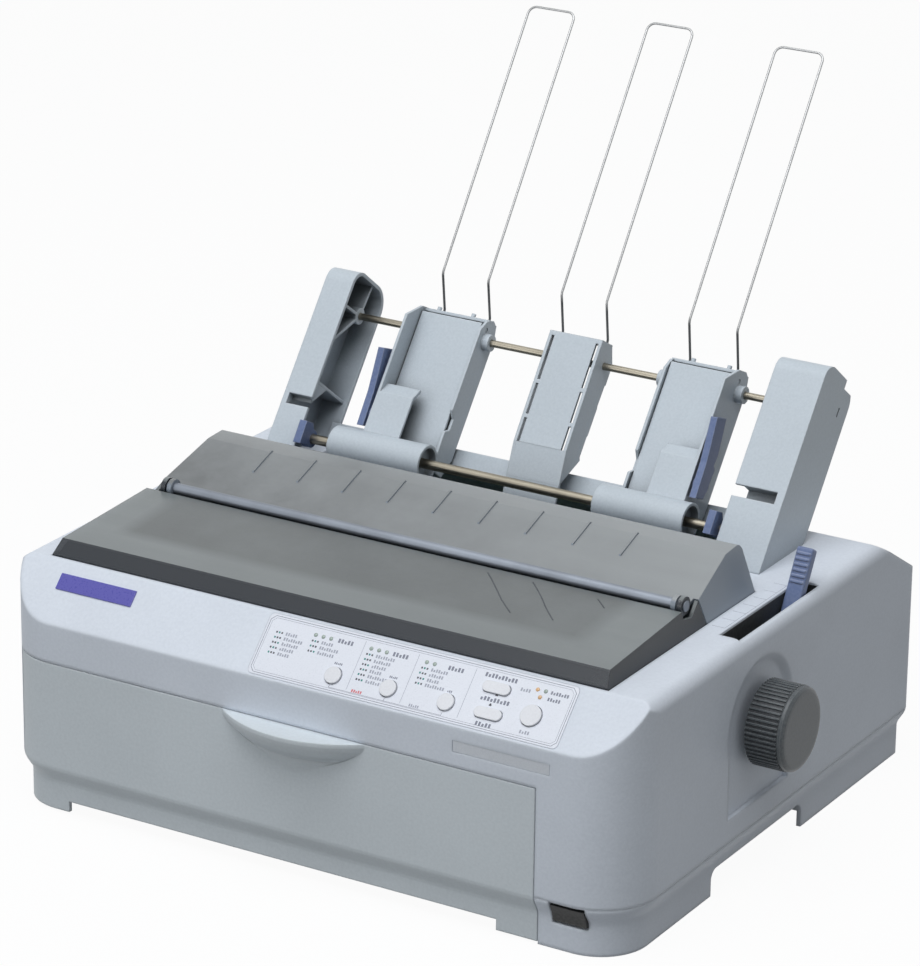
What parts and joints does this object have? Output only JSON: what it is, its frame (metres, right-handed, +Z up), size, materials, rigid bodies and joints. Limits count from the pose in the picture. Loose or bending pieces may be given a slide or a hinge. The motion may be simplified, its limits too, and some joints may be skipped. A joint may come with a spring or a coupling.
{
  "type": "dot matrix printer",
  "caption": "Desktop dot matrix printer with a smoked lid, a hand knob on the right and a cut sheet feeder with wire paper supports on its back.",
  "frame": {"origin": "middle of the whole printer on the surface that it stands on", "axes": "+X to the printer's right, -Y out of its front, +Z up"},
  "size_m": [0.44, 0.4376, 0.4011],
  "materials": {
    "case_plastic": "satin",
    "front_plastic": "satin",
    "smoked_plastic": "gloss",
    "feeder_plastic": "satin",
    "blue_plastic": "satin",
    "key_plastic": "gloss",
    "black_plastic": "matte",
    "dark_plastic": "matte",
    "gear_plastic": "satin",
    "overlay_film": "satin",
    "circuit_board": "matte",
    "platen_rubber": "matte",
    "polished_steel": "polished",
    "zinc_sheet": "satin",
    "motor_steel": "satin"
  },
  "bodies": {
    "printer": {"lower_case": "case_plastic", "upper_case": "case_plastic", "lid_bar": "polished_steel", "rear_hood": "smoked_plastic", "control_overlay": "overlay_film", "control_board": "circuit_board", "feed_motor": "motor_steel", "chassis_plate": "zinc_sheet", "side_frame_left": "zinc_sheet", "side_frame_right": "zinc_sheet", "carriage_rod": "polished_steel", "ribbon_cartridge": "black_plastic", "carriage_motor": "motor_steel", "carriage_belt": "black_plastic", "logic_board": "circuit_board", "power_supply": "zinc_sheet", "interface_port": "dark_plastic", "ac_inlet": "black_plastic", "case_screws": "polished_steel", "feeder_frame_left": "feeder_plastic", "feeder_frame_right": "feeder_plastic", "feeder_rod": "polished_steel"},
    "cover": {"front_cover": "front_plastic"},
    "lid": {"printer_lid": "smoked_plastic"},
    "rocker": {"power_rocker": "black_plastic"},
    "lever": {"release_lever": "blue_plastic"},
    "platen": {"platen_knob": "dark_plastic", "platen_shaft": "polished_steel", "platen_roller": "platen_rubber", "platen_gear": "gear_plastic"},
    "idler": {"idler_gear": "gear_plastic"},
    "pinion": {"feed_pinion": "polished_steel"},
    "carriage": {"carriage": "dark_plastic", "print_head": "dark_plastic"},
    "drive": {"drive_pulley": "polished_steel"},
    "tail": {"idler_pulley": "polished_steel"},
    "tractor_drive": {"tractor_shaft": "polished_steel"},
    "tractor_l": {"tractor_left": "dark_plastic"},
    "tractor_r": {"tractor_right": "dark_plastic"},
    "feeder_drive": {"feeder_shaft": "polished_steel"},
    "hopper_l": {"hopper_left": "feeder_plastic", "paper_wire_left": "polished_steel"},
    "hopper_r": {"hopper_right": "feeder_plastic", "paper_wire_right": "polished_steel"},
    "roll_l": {"feed_roller_left": "platen_rubber"},
    "roll_r": {"feed_roller_right": "platen_rubber"},
    "plate_l": {"pressure_plate_left": "feeder_plastic"},
    "plate_r": {"pressure_plate_right": "feeder_plastic"},
    "setter_l": {"set_lever_left": "blue_plastic"},
    "setter_r": {"set_lever_right": "blue_plastic"},
    "middle": {"middle_support": "feeder_plastic", "paper_wire_middle": "polished_steel"},
    "tab_l": {"lock_tab_left": "blue_plastic"},
    "tab_r": {"lock_tab_right": "blue_plastic"},
    "key_round_1": {"button_round_1": "key_plastic"},
    "key_round_2": {"button_round_2": "key_plastic"},
    "key_round_3": {"button_round_3": "key_plastic"},
    "key_oblong_upper": {"button_oblong_upper": "key_plastic"},
    "key_oblong_lower": {"button_oblong_lower": "key_plastic"},
    "key_round_4": {"button_round_4": "key_plastic"}
  },
  "joints": [
    {"name": "front_cover_hinge", "type": "hinge", "parent": "printer", "child": "cover", "pos_m": [-0.033, -0.19034, 0.0165], "axis": [1, 0, 0], "range_deg": [0, 80]},
    {"name": "lid_hinge", "type": "hinge", "parent": "printer", "child": "lid", "pos_m": [-0.013, -0.07684, 0.162], "axis": [1, 0, 0], "range_deg": [-100, 0]},
    {"name": "press_round_1", "type": "slide", "parent": "printer", "child": "key_round_1", "axis": [0, 0.7133, -0.7009], "range_m": [0, 0.0008], "stiffness_N_per_m": 500, "springref_m": -0.0004},
    {"name": "press_round_2", "type": "slide", "parent": "printer", "child": "key_round_2", "axis": [0, 0.7133, -0.7009], "range_m": [0, 0.0008], "stiffness_N_per_m": 500, "springref_m": -0.0004},
    {"name": "press_round_3", "type": "slide", "parent": "printer", "child": "key_round_3", "axis": [0, 0.7133, -0.7009], "range_m": [0, 0.0008], "stiffness_N_per_m": 500, "springref_m": -0.0004},
    {"name": "press_oblong_upper", "type": "slide", "parent": "printer", "child": "key_oblong_upper", "axis": [0, 0.7133, -0.7009], "range_m": [0, 0.0008], "stiffness_N_per_m": 500, "springref_m": -0.0004},
    {"name": "press_oblong_lower", "type": "slide", "parent": "printer", "child": "key_oblong_lower", "axis": [0, 0.7133, -0.7009], "range_m": [0, 0.0008], "stiffness_N_per_m": 500, "springref_m": -0.0004},
    {"name": "press_round_4", "type": "slide", "parent": "printer", "child": "key_round_4", "axis": [0, 0.7133, -0.7009], "range_m": [0, 0.0008], "stiffness_N_per_m": 500, "springref_m": -0.0004},
    {"name": "rocker_tilt", "type": "hinge", "parent": "printer", "child": "rocker", "pos_m": [0.1575, -0.19284, 0.0226], "axis": [1, 0, 0], "range_deg": [-14, 0]},
    {"name": "release_lever_swing", "type": "hinge", "parent": "printer", "child": "lever", "pos_m": [0.18345, -0.00084, 0.129], "axis": [1, 0, 0], "range_deg": [0, 35]},
    {"name": "platen_spin", "type": "hinge", "parent": "printer", "child": "platen", "pos_m": [-0.013, -0.04984, 0.092], "axis": [1, 0, 0], "continuous": true},
    {"name": "idler_spin", "type": "hinge", "parent": "printer", "child": "idler", "pos_m": [-0.1915, -0.07877, 0.05753], "axis": [1, 0, 0], "continuous": true},
    {"name": "pinion_spin", "type": "hinge", "parent": "printer", "child": "pinion", "pos_m": [-0.1915, -0.09323, 0.04029], "axis": [1, 0, 0], "continuous": true},
    {"name": "carriage_slide", "type": "slide", "parent": "printer", "child": "carriage", "axis": [1, 0, 0], "range_m": [-0.115, 0.115]},
    {"name": "drive_pulley_spin", "type": "hinge", "parent": "printer", "child": "drive", "pos_m": [0.118, -0.13184, 0.05], "axis": [0, 0, 1], "continuous": true},
    {"name": "idler_pulley_spin", "type": "hinge", "parent": "printer", "child": "tail", "pos_m": [-0.1535, -0.13184, 0.05], "axis": [0, 0, 1], "continuous": true},
    {"name": "tractor_spin", "type": "hinge", "parent": "printer", "child": "tractor_drive", "pos_m": [-0.013, -0.15234, 0.052], "axis": [1, 0, 0], "continuous": true},
    {"name": "tractor_left_slide", "type": "slide", "parent": "printer", "child": "tractor_l", "axis": [1, 0, 0], "range_m": [-0.028, 0.09]},
    {"name": "tractor_right_slide", "type": "slide", "parent": "printer", "child": "tractor_r", "axis": [1, 0, 0], "range_m": [-0.1, 0.03]},
    {"name": "feeder_spin", "type": "hinge", "parent": "printer", "child": "feeder_drive", "pos_m": [-0.013, 0.04056, 0.1605], "axis": [1, 0, 0], "continuous": true},
    {"name": "hopper_left_slide", "type": "slide", "parent": "printer", "child": "hopper_l", "axis": [1, 0, 0], "range_m": [-0.015, 0.025]},
    {"name": "hopper_right_slide", "type": "slide", "parent": "printer", "child": "hopper_r", "axis": [1, 0, 0], "range_m": [-0.025, 0.015]},
    {"name": "roller_left_spin", "type": "hinge", "parent": "hopper_l", "child": "roll_l", "pos_m": [-0.104, 0.04056, 0.1605], "axis": [1, 0, 0], "continuous": true},
    {"name": "roller_right_spin", "type": "hinge", "parent": "hopper_r", "child": "roll_r", "pos_m": [0.068, 0.04056, 0.1605], "axis": [1, 0, 0], "continuous": true},
    {"name": "plate_left_hinge", "type": "hinge", "parent": "hopper_l", "child": "plate_l", "pos_m": [-0.104, 0.10918, 0.22503], "axis": [1, 0, 0], "range_deg": [0, 6], "stiffness_Nm_per_rad": 0.05, "springref_deg": -8.59},
    {"name": "plate_right_hinge", "type": "hinge", "parent": "hopper_r", "child": "plate_r", "pos_m": [0.068, 0.10918, 0.22503], "axis": [1, 0, 0], "range_deg": [0, 6], "stiffness_Nm_per_rad": 0.05, "springref_deg": -8.59},
    {"name": "set_lever_left_swing", "type": "hinge", "parent": "hopper_l", "child": "setter_l", "pos_m": [-0.1318, 0.05758, 0.17769], "axis": [1, 0, 0], "range_deg": [0, 25]},
    {"name": "set_lever_right_swing", "type": "hinge", "parent": "hopper_r", "child": "setter_r", "pos_m": [0.0955, 0.05758, 0.17769], "axis": [1, 0, 0], "range_deg": [0, 25]},
    {"name": "middle_support_slide", "type": "slide", "parent": "printer", "child": "middle", "axis": [1, 0, 0], "range_m": [-0.01, 0.01]},
    {"name": "lock_tab_left_swing", "type": "hinge", "parent": "printer", "child": "tab_l", "pos_m": [-0.164, 0.04056, 0.1605], "axis": [1, 0, 0], "range_deg": [-40, 0]},
    {"name": "lock_tab_right_swing", "type": "hinge", "parent": "printer", "child": "tab_r", "pos_m": [0.116, 0.04056, 0.1605], "axis": [1, 0, 0], "range_deg": [-40, 0]}
  ],
  "couplings": [
    {"joint": "idler_spin", "follows": "platen_spin", "ratio": -2},
    {"joint": "pinion_spin", "follows": "platen_spin", "ratio": 4},
    {"joint": "feeder_spin", "follows": "platen_spin", "ratio": 1.8},
    {"joint": "tractor_spin", "follows": "platen_spin", "ratio": 1.5},
    {"joint": "roller_left_spin", "follows": "platen_spin", "ratio": 1.8},
    {"joint": "roller_right_spin", "follows": "platen_spin", "ratio": 1.8},
    {"joint": "drive_pulley_spin", "follows": "carriage_slide", "rad_per_m": -112.36},
    {"joint": "idler_pulley_spin", "follows": "carriage_slide", "rad_per_m": -112.36}
  ]
}
